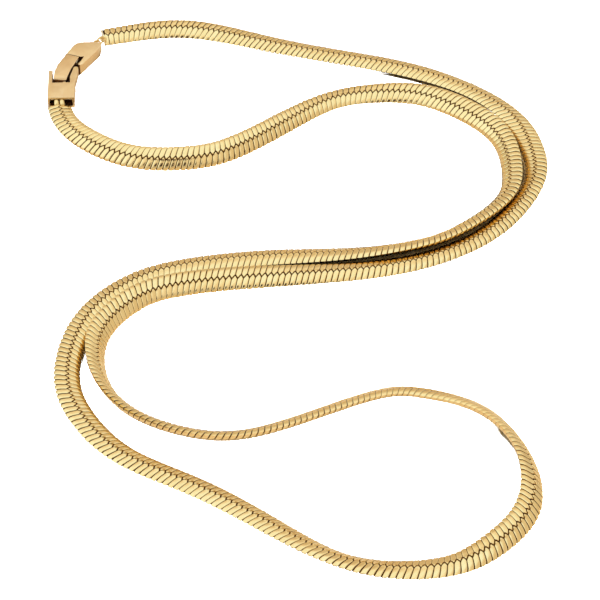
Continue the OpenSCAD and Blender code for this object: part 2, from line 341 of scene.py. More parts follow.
# %% Lay the plates along the route
LEAN = 3 * PITCH / (2 * HALF_ROUND)
END_RAMP = 9 * MM
SLOT_LEAST, SLOT_MORE = 0.03 * MM, 0.13 * MM
NARROWEST, WIDEST = 0.4, 1.08
EDGE_OPENING = 0.08
ROUNDING_KEPT = 0.75
WALL_BELOW = -0.2 * MM
TILT_SPREAD, HEIGHT_SPREAD = 0.012, 0.006 * MM
dice = np.random.default_rng(7)


def lay_plates(name, side, low, high):
    """One mesh with all half-plates of a side whose middle lies from low to high."""
    count = round(LENGTH / PITCH)
    middles = (np.arange(count) + (0.5 if side > 0 else 0.0)) * PITCH + 0.25 * PITCH
    middles = middles[(middles >= low) & (middles < high)]
    around, height, forward, rim = plate_grid(side)
    shape = (len(middles),) + around.shape
    # near its two ends the chain is cut square, so the lean fades out there
    from_end = np.minimum(middles, LENGTH - middles)
    fade = np.clip(from_end / END_RAMP, 0, 1)[:, None, None]
    distance = middles[:, None, None] + LEAN * fade * around
    rounds = np.broadcast_to(around, shape)
    tilt = dice.normal(0, TILT_SPREAD, shape[0])[:, None, None]
    raised = dice.normal(0, HEIGHT_SPREAD, shape[0])[:, None, None]
    opening, spread = slot_opening(distance, rounds)
    room = spread * PITCH - SLOT_LEAST - SLOT_MORE * opening
    narrow = np.clip(room / PLATE_WIDTH, NARROWEST, WIDEST)
    at_edge = np.sin(math.pi * np.abs(around) / HALF_ROUND) ** 2
    narrow *= 1 - EDGE_OPENING * at_edge * opening
    # where a slot closes, the rounding beside it goes too, but the slot's wall stays
    rounding = height * (ROUNDING_KEPT + (1 - ROUNDING_KEPT) * opening)
    heights = np.where(height < WALL_BELOW, height, rounding) + raised + tilt * forward
    points, _ = on_chain(distance, rounds, heights, forward * narrow)
    points[..., 2] = np.maximum(points[..., 2], 0)
    rows, columns = around.shape
    corner = np.arange(rows - 1)[:, None] * columns + np.arange(columns - 1)
    quad = np.stack([corner, corner + 1, corner + columns + 1, corner + columns], axis=-1)
    if side > 0:
        quad = quad[..., ::-1]
    quads = quad.reshape(1, -1, 4) + (np.arange(len(middles)) * rows * columns)[:, None, None]
    piece = new_piece(name, points.reshape(-1, 3).tolist(), quads.reshape(-1, 4).tolist())
    notes = {
        "tone": np.repeat(dice.random(len(middles)), rows * columns),
        "rim": np.broadcast_to(rim, shape).ravel(),
        # painted shade: darker deep in the slots, and weaker where the slots face away from the
        # viewer
        "depth": (np.clip(-height / SLOT_DEPTH, 0, 1) * opening).ravel(),
    }
    for label, values in notes.items():
        note = piece.data.attributes.new(label, "FLOAT", "POINT")
        note.data.foreach_set("value", values.astype(np.float32))
    smooth(piece, fold=50)
    print(name, len(middles), "half-plates,", 2 * len(piece.data.polygons), "triangles")
    return piece


CHAIN_PARTS = []
for part, low, high in (("chain_first", 0, MEET), ("chain_second", MEET, LENGTH)):
    for hand, side in (("left", 1), ("right", -1)):
        CHAIN_PARTS.append((lay_plates(f"{part}_{hand}_plates", side, low, high), part))

# %% [markdown]
# ## The dark core
#
# Between real plates one looks into shadow. The inner, overlapped parts of the plates are not
# worth making one by one, so a plain oval tube, dark brown as painted shade, fills the chain just
# below the slots. It is swept along the same route.

# %% Core inside the plates
CORE_STEP = 1.2 * MM
CORE_SIDES = 20
CORE_DEPTH = 0.22 * MM
CORE_END = 0.1 * MM


def lay_core(name, low, high):
    """An oval tube inside the plates from low to high, with closed ends."""
    distance = np.linspace(low, high, int((high - low) / CORE_STEP))
    around = np.arange(CORE_SIDES) / CORE_SIDES * 2 * HALF_ROUND - HALF_ROUND
    points, _ = on_chain(*np.meshgrid(distance, around, indexing="ij"), -CORE_DEPTH, 0.0)
    # the rings run clockwise, so the faces are turned over
    faces = [face[:1] + face[:0:-1] for face in tube_faces(len(distance), CORE_SIDES)]
    piece = new_piece(name, points.reshape(-1, 3).tolist(), faces)
    piece.data.shade_smooth()
    return piece


CORES = [
    (lay_core("chain_first_core", CORE_END, MEET), "chain_first"),
    (lay_core("chain_second_core", MEET, LENGTH - CORE_END), "chain_second"),
]
print("core rings every", CORE_STEP / MM, "mm")

# %% [markdown]
# ## Helpers for the clasp's sheet and block forms
#
# The clasp is stamped and milled from gold sheet. Its pieces are flat outlines with thickness,
# with pockets cut into them and every edge slightly rounded by polishing. So each piece is made
# the same way: push an outline up into a block, add or cut other blocks, then round the edges
# with a bevel. A face of any outline can be one n-gon here, because it is flat. A `slab` is the
# cutting tool for slopes.

# %% Blocks, slabs and rods
def circle(count):
    """The angles of points spaced evenly round a circle."""
    return [2 * math.pi * k / count for k in range(count)]


def turn_point(x, y, turn, place=(0, 0)):
    """A point of the plan in mm, turned by an angle in degrees and moved to a place."""
    c, s = math.cos(math.radians(turn)), math.sin(math.radians(turn))
    return place[0] + x * c - y * s, place[1] + x * s + y * c


def anticlockwise(ring):
    """An outline in the order that faces need, however it was drawn."""
    area = sum(p[0] * q[1] - q[0] * p[1] for p, q in zip(ring, ring[1:] + ring[:1]))
    return ring if area > 0 else ring[::-1]


def block(name, outline, low, high, turn=0, place=(0, 0)):
    """An outline in mm pushed up from low to high, turned and placed in the plan."""
    ring = anticlockwise([turn_point(x, y, turn, place) for x, y in outline])
    verts = [(x * MM, y * MM, z * MM) for z in (low, high) for x, y in ring]
    return new_piece(name, verts, tube_faces(2, len(ring)))


def slab(name, profile, place, turn, width):
    """A side view in mm (along, up) pushed half its width to either side of a heading."""
    ring = anticlockwise(profile)
    verts = []
    for side in (-width / 2, width / 2):
        for ahead, up in ring:
            x, y = turn_point(ahead, side, turn, place)
            verts.append((x * MM, y * MM, up * MM))
    n = len(ring)
    faces = [tuple(range(n)), tuple(reversed(range(n, 2 * n)))]
    faces += [(i, n + i, n + (i + 1) % n, (i + 1) % n) for i in range(n)]
    return new_piece(name, verts, faces)


def rod(name, start, end, radius, sides=24):
    """A round bar between two points in mm."""
    start, end = Vector(start), Vector(end)
    turn = (end - start).to_track_quat("Z", "Y").to_matrix()
    verts = []
    for centre in (start, end):
        for a in circle(sides):
            out = turn @ Vector((radius * math.cos(a), radius * math.sin(a), 0))
            verts.append(tuple((centre + out) * MM))
    return new_piece(name, verts, tube_faces(2, sides))


print("helpers ready: block, slab, rod")

# %% [markdown]
# Cutting and joining use booleans, and polishing uses a bevel, all baked into the mesh at once.
# Before the bevel, points that nearly coincide are welded, because a bevel stops at slivers.
# After it, the narrow faces are the rounded edges, and a rim value marks them for the finish.

# %% Cuts and rounded edges
WELD = 0.004 * MM
FLAT_FOLD, BEVEL_FOLD, BEVEL_STEPS = math.radians(1), math.radians(32), 3


def bake(piece):
    """Turn the result of a piece's modifiers into its plain mesh."""
    graph = bpy.context.evaluated_depsgraph_get()
    mesh = bpy.data.meshes.new_from_object(piece.evaluated_get(graph))
    piece.modifiers.clear()
    piece.data = mesh
    mesh.name = piece.name


def carve(piece, tools, operation="DIFFERENCE"):
    """Cut the tools out of the piece, or join them to it, and throw the tools away."""
    for tool in tools:
        step = piece.modifiers.new("carve", "BOOLEAN")
        step.operation = operation
        step.solver = "EXACT"
        step.object = tool
        bake(piece)
        bpy.data.objects.remove(tool)


def soften(piece, width):
    """Round the edges of a piece as polishing does, and shade it smooth."""
    clean = bmesh.new()
    clean.from_mesh(piece.data)
    bmesh.ops.remove_doubles(clean, verts=clean.verts, dist=WELD)
    bmesh.ops.dissolve_limit(clean, angle_limit=FLAT_FOLD, verts=clean.verts, edges=clean.edges)
    clean.to_mesh(piece.data)
    clean.free()
    round_off = piece.modifiers.new("round_off", "BEVEL")
    round_off.width = width * MM
    round_off.segments = BEVEL_STEPS
    round_off.limit_method = "ANGLE"
    round_off.angle_limit = BEVEL_FOLD
    bake(piece)
    mark_edges(piece)
    smooth(piece)


def mark_edges(piece, thin=0.07):
    """Write a rim value of 1 on the corners of thin faces, in mm, for the wear and the painted
    highlight of the edges.
    """
    values = []
    for face in piece.data.polygons:
        corners = [piece.data.vertices[i].co for i in face.vertices]
        outline = sum((corners[k] - corners[k - 1]).length for k in range(len(corners)))
        values += [1.0 if face.area / outline < thin * MM else 0.0] * len(corners)
    piece.data.attributes.new("rim", "FLOAT", "CORNER").data.foreach_set("value", values)


def darken(piece, inside):
    """Give the second material, painted dark as shade, to the faces whose middle, in mm, passes a
    test.
    """
    for face in piece.data.polygons:
        x, y, z = (c / MM for c in face.center)
        if inside(x, y, z, face.normal):
            face.material_index = 1


def within(x, y, outline):
    """Whether a point of the plan lies inside an outline."""
    odd = False
    for (ax, ay), (bx, by) in zip(outline, outline[1:] + outline[:1]):
        if (ay > y) != (by > y) and x < ax + (y - ay) * (bx - ax) / (by - ay):
            odd = not odd
    return odd


print("helpers ready: carve, soften, mark_edges, darken")

# %% [markdown]
# ## Clasp: the catch box
#
# The box is the end that the lever snaps onto. On the real clasp it is folded from one sheet:
# floor, sides and a short roof, with an arm left standing on each side of a notch. The right arm
# swings out along the body and ends in a round tip. The mouth shows a bar that the chain's loops
# hang on, under a lip with a sloping edge. The outlines are the construction model's own, so its
# box and this one coincide. Everything is cut from one block, because cuts leave cleaner faces
# than joins of touching blocks do. The faces deep inside get a second material, painted dark as
# shade, since hardly any light reaches them.

# %% Catch box
BOX_PLACE, BOX_TURN = (-52.1, 55.4), 2
BOX_PLAN = [
    (-3, 0), (3, 0), (3, 5.2), (3.4, 7.6), (3.7, 9.8), (3.62, 10.6), (3.4, 10.92), (3.1, 11),
    (2.8, 10.92), (2.4, 10.4), (2.2, 9.7), (-3, 9.7),
]
HOLLOW = [(-2.5, -1), (2.5, -1), (2.5, 4.9), (-2.5, 4.9)]
NOTCH = [
    (-2.1, 5.3), (0.3, 5.3), (0.42, 5.55), (0.9, 5.55), (1, 5.3), (1.9, 5.3), (1.9, 7.6),
    (2.5, 10.2), (2.75, 11.5), (-2.1, 11.5),
]
UNDER_ARM = [(2.85, 5.7), (5, 5.7), (5, 12), (1.5, 12), (1.5, 9.9), (2.6, 9.6), (2.85, 8)]
LIP = [(-0.3, 3.4), (-0.3, 2.5), (0.4, 3.2), (0.4, 3.4)]
# outlines a little wider than the hollow and the notch, to find their walls by
MOUTH_WALLS = [(-2.6, -1), (2.6, -1), (2.6, 4.95), (-2.6, 4.95)]
NOTCH_WALLS = [(-2.15, 5.35), (1.95, 5.35), (1.95, 7.6), (2.4, 9.5), (-2.15, 9.6)]


def box_block(name, outline, low, high):
    """A block whose outline is measured from the middle of the box's mouth."""
    return block(name, outline, low, high, BOX_TURN, BOX_PLACE)


def box_point(x, y, z):
    """A point in mm measured from the middle of the box's mouth."""
    return (*turn_point(x, y, BOX_TURN, BOX_PLACE), z)


def inside_box(x, y, z, normal):
    """The walls of the mouth and of the notch, which hardly any light reaches."""
    x, y = turn_point(x - BOX_PLACE[0], y - BOX_PLACE[1], -BOX_TURN)
    mouth = within(x, y, MOUTH_WALLS) and 0.45 < z < 2.55 and y > 0.12
    notch = within(x, y, NOTCH_WALLS) and 0.4 < z < 2.85
    return mouth or notch


catch_box = box_block("catch_box_shell", BOX_PLAN, 0, 3)
carve(catch_box, [
    box_block("hollow", HOLLOW, 0.5, 2.5),
    box_block("notch", NOTCH, 0.5, 4),
    box_block("under_arm", UNDER_ARM, -1, 1.25),
    slab("lip", LIP, BOX_PLACE, BOX_TURN + 90, 8),
])
soften(catch_box, 0.11)
darken(catch_box, inside_box)
bar = rod("catch_box_bar", box_point(-2.7, 1.3, 1.5), box_point(2.7, 1.3, 1.5), 0.34)
mark_edges(bar)
smooth(bar)
print("catch box:", len(catch_box.data.polygons), "faces")

# %% [markdown]
# ## Clasp: the body
#
# The body is a milled block with a polished outline. Its pocket takes the lever and stays open
# beside it as a slot. Towards the ring its underside is cut up to a nose with a slab. The two
# cheeks that hold the pin stay solid. The pocket and the slot are painted dark inside as painted
# shade, while the outer wall and the underside stay gold.

# %% Clasp body
BODY_PLAN = [
    (-53.6, 66.9), (-52.6, 69.2), (-51.4, 72), (-50.2, 74.3), (-49.8, 74.72), (-49.4, 75),
    (-48.85, 75.2), (-48.2, 75.3), (-45.4, 75.4), (-44.8, 75.28), (-44.3, 75), (-44.0, 74.55),
    (-44, 74), (-45.2, 71.6), (-46.6, 69.2), (-47.7, 67.4), (-48.05, 67.05), (-48.5, 66.9),
]
RECESS_PLAN = [
    (-55, 65.5), (-54.2, 68.5), (-53, 71.5), (-50.2, 70.5), (-48.5, 69.9), (-47.7, 70),
    (-48.3, 68.5), (-48.7, 67.6), (-49.2, 65.5),
]
# an outline a little wider than the recess, to find its walls by
ROOM = [
    (-54.5, 65), (-54.5, 70), (-52, 72), (-48.4, 70.0), (-47.65, 70.06), (-48.25, 68.5),
    (-48.65, 67.6), (-49.1, 65),
]
TONGUE_PLAN = [(-53.3, 67), (-53.5, 62.9), (-51.1, 62.8), (-50.6, 65), (-50, 67)]
EYE_STEM = [(-45.6, 74.1), (-44.8, 74.1), (-44.75, 76.05), (-45.6, 76.05)]
NOSE = [(-4, -1), (-4, 0), (-1.7, 0.8), (0, 2.2), (2, 2.2), (2, -1)]
NOSE_TURN = 59
UNDER_RIGHT = [(-0.7, 0), (0.5, 1.5), (0.5, -1), (-0.7, -1)]
LUG_FOOT = [(-0.5, 0.1), (0.5, 0.1), (0.5, 1.9), (-0.5, 1.9)]
HINGE, HINGE_TURN = (-50.55, 69.45, 1.9), -20
PIN_RADIUS = 0.35


def on_hinge(along_pin, back, up):
    """A point measured from the hinge: along the pin, away from the lever's tip, and up."""
    return (*turn_point(along_pin, back, HINGE_TURN, HINGE), HINGE[2] + up)


def hinge_rod(name, start, end, radius, sides=32):
    """A round bar on the hinge's axis, from start to end along the pin."""
    return rod(name, on_hinge(start, 0, 0), on_hinge(end, 0, 0), radius, sides)


def hinge_slab(name, profile, along_pin, width):
    """A side view pushed along the pin, half its width to either side of a place."""
    return slab(name, profile, on_hinge(along_pin, 0, 0)[:2], HINGE_TURN + 90, width)


def inside_body(x, y, z, normal):
    """The pocket and the slot, but neither the outer left wall nor the underside."""
    outer_wall = x < -50.5 and normal.x < -0.5
    underside = z < 0.5 and normal.z < -0.3
    return within(x, y, ROOM) and z < 3.08 and not outer_wall and not underside


clasp_body = block("clasp_body_block", BODY_PLAN, 0, 3.2)
carve(clasp_body, [
    slab("nose", NOSE, (-44.3, 75.2), NOSE_TURN, 16),
    slab("under_right", UNDER_RIGHT, (-46.9, 68.75), NOSE_TURN - 90, 30),
    block("recess", RECESS_PLAN, 1.6, 5),
    hinge_rod("pocket", -3, 1.75, 1.7, 48),
])
carve(clasp_body, [
    block("tongue", TONGUE_PLAN, 0.8, 1.6),
    hinge_rod("lug", -1.75, -1.25, 0.5),
    hinge_slab("lug_foot", LUG_FOOT, -1.5, 0.5),
    block("eye_stem", EYE_STEM, 1.9, 2.5),
], "UNION")
carve(clasp_body, [hinge_rod("pin_hole", -3, 3.4, PIN_RADIUS)])
soften(clasp_body, 0.09)
darken(clasp_body, inside_body)
print("clasp body:", len(clasp_body.data.polygons), "faces")

# %% [markdown]
# ## Clasp: the lever
#
# The lever is the plate that folds down between the two arms and locks the clasp. Its top lies
# flush with the body's, its left edge carries the body's outline on, and its rounded tip is bent
# down a little so that a fingernail finds it. Its round root turns on the pin. It is its own
# piece because it moves on its own: it rides on the construction model's lever.

# %% Lever
LEVER_PLAN = [
    (-54.15, 62.35), (-54.0, 62.15), (-51.5, 61.95), (-51.22, 62.1), (-50.95, 63.2),
    (-50.4, 65.6), (-49.9, 66.9), (-49.5, 68.1), (-49.1, 69.2), (-48.84, 69.93), (-51.83, 71.02),
    (-52.6, 69.2), (-53.6, 66.9), (-54.1, 64.6),
]
LUG_ROOM = [(-0.95, -0.1), (1.25, -0.1), (1.25, 2.65), (-0.95, 2.65)]
TIP_SLOPE = [(-1, 3.6), (-1, 1.9), (0.1, 2.85), (0.3, 3.08), (1.6, 3.16), (1.6, 3.6)]


def inside_lever(x, y, z, normal):
    """The underside, the right edge and the root, all below the polished top, painted dark as
    shade.
    """
    return z < 2.9 and (normal.x > 0.3 or normal.z < -0.5 or y > 69)


lever = block("lever_plate", LEVER_PLAN, 1.9, 3.14)
carve(lever, [hinge_rod("root", -1.1, 1.55, 1.1, 48)], "UNION")
carve(lever, [
    hinge_slab("lug_room", LUG_ROOM, -2.55, 2.9),
    hinge_rod("pin_hole", -3, 3, PIN_RADIUS),
    slab("tip_slope", TIP_SLOPE, (-52.7, 62.1), 88, 8),
])
soften(lever, 0.09)
darken(lever, inside_lever)
print("lever:", len(lever.data.polygons), "faces")

# %% [markdown]
# ## Rings and loops
#
# At the far end a flat eye, the joining ring and the body's eye make three links in a row, each
# at a right angle to the next. They are bent from round wire, so one helper sweeps a circle
# along any closed or open line. A curve with a bevel would give the same form, but on a mesh the
# edge attribute for the wear and the painted highlight can be written at once.

# %% Wire and the ring
WIRE_SIDES = 14
RING = Vector((-44.5, 77.2, 2.2))
RING_WAY = Vector((math.cos(math.radians(45)), math.sin(math.radians(45)), 0))
RING_RADIUS, RING_WIRE = 0.9, 0.25
EYE_AWAY, EYE_RADIUS, EYE_WIRE = 0.93, 0.62, 0.22


def wire(name, line, radius, closed=True, broad=Vector((0, 0, 0))):
    """Round wire along a line of points in mm, made broader along a direction if one is given."""
    line = [Vector(p) for p in line]
    n = len(line)
    verts = []
    normal = None
    for i, point in enumerate(line):
        before = line[i - 1] if closed or i > 0 else point
        after = line[(i + 1) % n] if closed or i < n - 1 else point
        forward = (after - before).normalized()
        if normal is None:
            normal = forward.orthogonal().normalized()
        normal = (normal - forward * normal.dot(forward)).normalized()
        other = forward.cross(normal)
        for a in circle(WIRE_SIDES):
            out = radius * (math.cos(a) * normal + math.sin(a) * other)
            verts.append(tuple((point + out + broad * out.dot(broad)) * MM))
    piece = new_piece(name, verts, tube_faces(n, WIRE_SIDES, closed))
    mark_edges(piece, 0)
    piece.data.shade_smooth()
    return piece


def round_line(centre, radius, flat=(1, 0, 0), up=(0, 1, 0), count=40):
    """Points of a circle about a centre, in the plane of two directions."""
    centre, flat, up = Vector(centre), Vector(flat).normalized(), Vector(up).normalized()
    return [centre + radius * (math.cos(a) * flat + math.sin(a) * up) for a in circle(count)]


ring_line = round_line(RING, RING_RADIUS, RING_WAY, (0, 0, 1))
joining_ring = wire("joining_ring_wire", ring_line, RING_WIRE)
body_eye, far_eye = (
    wire(name, round_line(RING + way * EYE_AWAY * RING_WAY, EYE_RADIUS), EYE_WIRE)
    for name, way in (("clasp_body_eye", -1), ("far_end_eye", 1))
)
print("ring and two eyes, each of", len(body_eye.data.polygons), "faces")

# %% [markdown]
# Thin oval caps close the chain's two cut ends. Each is four rings of points on the chain's own
# section, a little under its surface.

# %% Caps on the chain's ends
CAP_SIDES = 40
# how far each ring of a cap lies out of the chain's end and in under its surface, in mm
CAP_RINGS = [(0.02, 0.22), (0.02, 0.16), (0.22, 0.16), (0.3, 0.24)]


def cap(name, distance, way):
    """A thin oval plate on the chain's end, way being -1 at the start and 1 at the end."""
    around = np.linspace(-HALF_ROUND, HALF_ROUND, CAP_SIDES, endpoint=False)
    at = np.full(CAP_SIDES, distance)
    rings = [on_chain(at, around, -inset * MM, way * out * MM)[0] for out, inset in CAP_RINGS]
    faces = tube_faces(len(CAP_RINGS), CAP_SIDES)
    piece = new_piece(name, np.concatenate(rings).tolist(), faces)
    fix = bmesh.new()
    fix.from_mesh(piece.data)
    bmesh.ops.recalc_face_normals(fix, faces=fix.faces)
    fix.to_mesh(piece.data)
    fix.free()
    mark_edges(piece)
    smooth(piece, fold=35)
    return piece


near_cap = cap("near_end_cap", 0.0, -1)
far_cap = cap("far_end_cap", LENGTH, 1)
print("caps:", near_cap.name, far_cap.name)

# %% [markdown]
# At the box two wire loops are soldered to the cap and go round the bar. They are long ovals,
# broader than thick. At the other end a short bent stem rises from the cap to the flat eye. A
# tiny bead sits on the tip of the box's right arm.

# %% Loops, stem and bead
LOOP_POINTS = 44
LOOP_REACH, LOOP_RISE = 1.45, 0.66
across_box = Vector((*turn_point(1, 0, BOX_TURN), 0))
near_loops = []
for hand, across in (("left", -1.1), ("right", 0.15)):
    line = []
    for a in circle(LOOP_POINTS):
        reach = LOOP_REACH * math.copysign(abs(math.cos(a)) ** 0.8, math.cos(a))
        rise = LOOP_RISE * math.sin(a)
        line.append(box_point(across - 0.12 * reach, 0.42 + reach, 1.5 + rise))
    near_loops.append(wire(f"near_end_loop_{hand}", line, 0.3, broad=0.88 * across_box))

# the stem's points: forward, to the left and up from the chain's end, in mm
STEM = [(0.15, 0.5, 0), (0.45, 0.7, 0.3), (0.6, 0.85, 0.9), (0.58, 1.1, 1.2), (0.55, 1.38, 1.24)]
x, y, z, far_heading, _, _ = (float(v) for v in along(LENGTH))
far_end = Vector((x / MM, y / MM, z / MM))
forward = Vector((math.cos(far_heading), math.sin(far_heading), 0))
leftward = Vector((-math.sin(far_heading), math.cos(far_heading), 0))
stem_line = [far_end + f * forward + s * leftward + Vector((0, 0, up)) for f, s, up in STEM]
far_stem = wire("far_end_stem", stem_line, 0.24, closed=False)

bead_line = round_line(box_point(3.1, 10.5, 2.95), 0.14, count=20)
arm_bead = wire("catch_box_arm_bead", bead_line, 0.18)
print("wire pieces:", [piece.name for piece in near_loops + [far_stem, arm_bead]])

# %% [markdown]
# ## Effects that the finishes share
#
# Every finish here is yellow gold, so the same effects come back in all of them: a cloudy film
# from handling, edges rubbed by wear and also painted brighter as a highlight, hair-fine
# brushing, soft unevenness and painted shade in the gaps. Each is a node group with named sockets,
# built once and given other values in each material. A group hands out only masks, colours and
# heights. The shader stays outside, in the material. First come short helpers that add one node
# each.

# %% Helpers for nodes
def fill(tree, socket, value):
    """Link another socket to this one, or set its value."""
    if isinstance(value, bpy.types.NodeSocket):
        tree.links.new(value, socket)
    else:
        socket.default_value = value


def add(tree, kind, settings=None, **inputs):
    """Add a node, set its options, and fill its sockets by name or number."""
    node = tree.nodes.new("ShaderNode" + kind)
    for label, value in (settings or {}).items():
        setattr(node, label, value)
    for label, value in inputs.items():
        by_number = label[0] == "_" and label[1:].isdigit()
        fill(tree, node.inputs[int(label[1:]) if by_number else label.replace("_", " ")], value)
    return node


def here(tree):
    """Where a point lies on its own object."""
    return add(tree, "TexCoord").outputs["Object"]


def noise(tree, where, **values):
    return add(tree, "TexNoise", Vector=where, **values).outputs["Fac"]


def times(tree, first, second):
    return add(tree, "Math", {"operation": "MULTIPLY"}, _0=first, _1=second).outputs[0]


def vector_math(tree, operation, **inputs):
    return add(tree, "VectorMath", {"operation": operation}, **inputs)


def remap(tree, value, kind="LINEAR", **ends):
    """Stretch a value from one span to another, in a straight line or with soft ends."""
    settings = {"interpolation_type": kind}
    return add(tree, "MapRange", settings, Value=value, **ends).outputs["Result"]


def blend(tree, mask, first, second):
    """Mix two colours by a mask."""
    return add(tree, "Mix", {"data_type": "RGBA"}, _0=mask, _6=first, _7=second).outputs[2]


def new_group(name, outputs, **inputs):
    """An empty node group with named sockets, and the sockets of its two end nodes."""
    group = bpy.data.node_groups.new(name, "ShaderNodeTree")
    for label, value in inputs.items():
        kind = "NodeSocketColor" if isinstance(value, tuple) else "NodeSocketFloat"
        socket = group.interface.new_socket(label, in_out="INPUT", socket_type=kind)
        socket.default_value = value
    for label in outputs:
        kind = "NodeSocketColor" if label == "Color" else "NodeSocketFloat"
        group.interface.new_socket(label, in_out="OUTPUT", socket_type=kind)
    give = group.nodes.new("NodeGroupOutput").inputs
    return group, group.nodes.new("NodeGroupInput").outputs, give


print("node helpers ready")

# %% [markdown]
# Now the five effects. Most are noise: in clouds, stretched along one direction or as a slow
# swell. It is measured on the object itself, so the marks stay on a piece when it moves.

# %% Node groups
handling, take, give = new_group("handling_film", ["Mask"], Size=300.0, Cover=0.5)
cloud = noise(handling, here(handling), Scale=take["Size"], Detail=5.0, Roughness=0.62)
cover = remap(handling, cloud, From_Min=0.36, From_Max=0.66)
fill(handling, give["Mask"], times(handling, cover, take["Cover"]))

# rims rubbed by wear; the mask also paints them paler as a painted highlight
edge_wear_and_sheen, take, give = new_group("edge_wear_and_sheen", ["Mask"], Rim=0.0, Size=900.0, Amount=1.0)
patchy = noise(edge_wear_and_sheen, here(edge_wear_and_sheen), Scale=take["Size"], Detail=3.0)
lift = remap(edge_wear_and_sheen, patchy, From_Min=0.3, From_Max=0.6, To_Min=0.35)
kept = times(edge_wear_and_sheen, lift, take["Rim"])
fill(edge_wear_and_sheen, give["Mask"], times(edge_wear_and_sheen, kept, take["Amount"]))

marks = ["Height", "Streak"]
brushing, take, give = new_group("hair_brushing", marks, Turn=0.0, Fineness=6000.0, Length=300.0)
about_z = {"rotation_type": "Z_AXIS"}
turned = add(brushing, "VectorRotate", about_z, Vector=here(brushing), Angle=take["Turn"])
fine, long = take["Fineness"], take["Length"]
stretch = add(brushing, "CombineXYZ", X=fine, Y=long, Z=fine)
drawn = vector_math(brushing, "MULTIPLY", _0=turned.outputs[0], _1=stretch.outputs[0]).outputs[0]
wide = vector_math(brushing, "SCALE", _0=drawn, Scale=0.16).outputs[0]
bands = noise(brushing, wide, Scale=1.0, Detail=2.0)
fill(brushing, give["Height"], noise(brushing, drawn, Scale=1.0, Detail=4.0, Roughness=0.6))
fill(brushing, give["Streak"], remap(brushing, bands, From_Min=0.35, From_Max=0.65))

unevenness, take, give = new_group("soft_unevenness", ["Height"], Size=500.0)
swell = noise(unevenness, here(unevenness), Scale=take["Size"], Detail=1.5, Roughness=0.45)
fill(unevenness, give["Height"], swell)

# painted shade in the gaps: the deeper a point lies, the more it takes the shade colour
gap_shade, take, give = new_group(
    "gap_shade", ["Color", "Mask"],
    Clean=(1, 1, 1, 1), Dirty=(0, 0, 0, 1), Depth=0.0, Start=0.1, End=0.6,
)
span = {"From_Min": take["Start"], "From_Max": take["End"]}
sunk = remap(gap_shade, take["Depth"], "SMOOTHSTEP", **span)
fill(gap_shade, give["Color"], blend(gap_shade, sunk, take["Clean"], take["Dirty"]))
fill(gap_shade, give["Mask"], sunk)
print("groups:", [group.name for group in bpy.data.node_groups])

# %% [markdown]
# ## The chain's gold
#
# Real herringbone plates are polished, and after some wear each one mirrors its surroundings a
# little differently. The tone attribute, one number for each plate, shifts the colour a hair.
# The film of handling changes the roughness in soft clouds. The rims show wear and are also
# painted brighter as a highlight, and the depth attribute paints the slots brown as painted
# shade, where the mirror of gold in gold takes the light away. Metal stays metal everywhere, so
# Metallic is a plain 1 on the shader itself.

# %% Gold of the plates
def use(tree, group, **inputs):
    """Place a node group in a material with its own values, and hand out its outputs."""
    return add(tree, "Group", {"node_tree": group}, **inputs).outputs


def start_material(name):
    """A new metal material: itself, its tree and its shader's sockets."""
    material = bpy.data.materials.new(name)
    material.use_nodes = True
    sockets = material.node_tree.nodes["Principled BSDF"].inputs
    sockets["Metallic"].default_value = 1
    return material, material.node_tree, sockets


def read(tree, label):
    """The value of a mesh attribute at each point."""
    return add(tree, "Attribute", {"attribute_name": label}).outputs["Fac"]


def bump(tree, height, **values):
    return add(tree, "Bump", Height=height, **values).outputs["Normal"]


def filmed_metal(name, size, first, second, low, high):
    """A plain metal whose colour and roughness change with the film of handling."""
    material, tree, sockets = start_material(name)
    film = use(tree, handling, Size=size, Cover=1.0)["Mask"]
    fill(tree, sockets["Base Color"], blend(tree, film, first, second))
    fill(tree, sockets["Roughness"], remap(tree, film, To_Min=low, To_Max=high))
    return material


PALE_GOLD = (0.94, 0.72, 0.345, 1)
WARM_GOLD = (0.91, 0.66, 0.285, 1)
DULL_GOLD = (0.90, 0.64, 0.27, 1)
# the rims' colour is wear and a painted highlight
RIM_GOLD = (0.99, 0.77, 0.38, 1)
# the slots' brown is painted shade
SLOT_SHADE = (0.16, 0.05, 0.001, 1)
plate_gold, tree, sockets = start_material("plate_gold")
toned = blend(tree, read(tree, "tone"), WARM_GOLD, PALE_GOLD)
film = use(tree, handling, Size=260.0, Cover=0.8)["Mask"]
wear_and_sheen = use(tree, edge_wear_and_sheen, Rim=read(tree, "rim"), Size=700.0, Amount=0.45)["Mask"]
edged = blend(tree, wear_and_sheen, blend(tree, film, toned, DULL_GOLD), RIM_GOLD)
# the slots are painted brown as painted shade, by the slot shade attribute
depth = read(tree, "depth")
gap_shading = use(tree, gap_shade, Clean=edged, Dirty=SLOT_SHADE, Depth=depth, Start=0.2, End=0.7)
fill(tree, sockets["Base Color"], gap_shading["Color"])
gloss = remap(tree, film, To_Min=0.12, To_Max=0.25)
rougher = add(tree, "Math", {"operation": "MULTIPLY_ADD"}, _0=gap_shading["Mask"], _1=0.3, _2=gloss)
fill(tree, sockets["Roughness"], rougher.outputs[0])
lines = use(tree, brushing, Turn=0.6, Fineness=5000.0, Length=900.0)
fill(tree, sockets["Normal"], bump(tree, lines["Height"], Strength=0.10, Distance=0.00002))

# the core's dark browns are painted shade
CORE_DARK, CORE_BROWN = (0.07, 0.024, 0.002, 1), (0.13, 0.05, 0.004, 1)
core_brown = filmed_metal("core_brown", 900.0, CORE_DARK, CORE_BROWN, 0.45, 0.65)
print("plate gold and core ready")

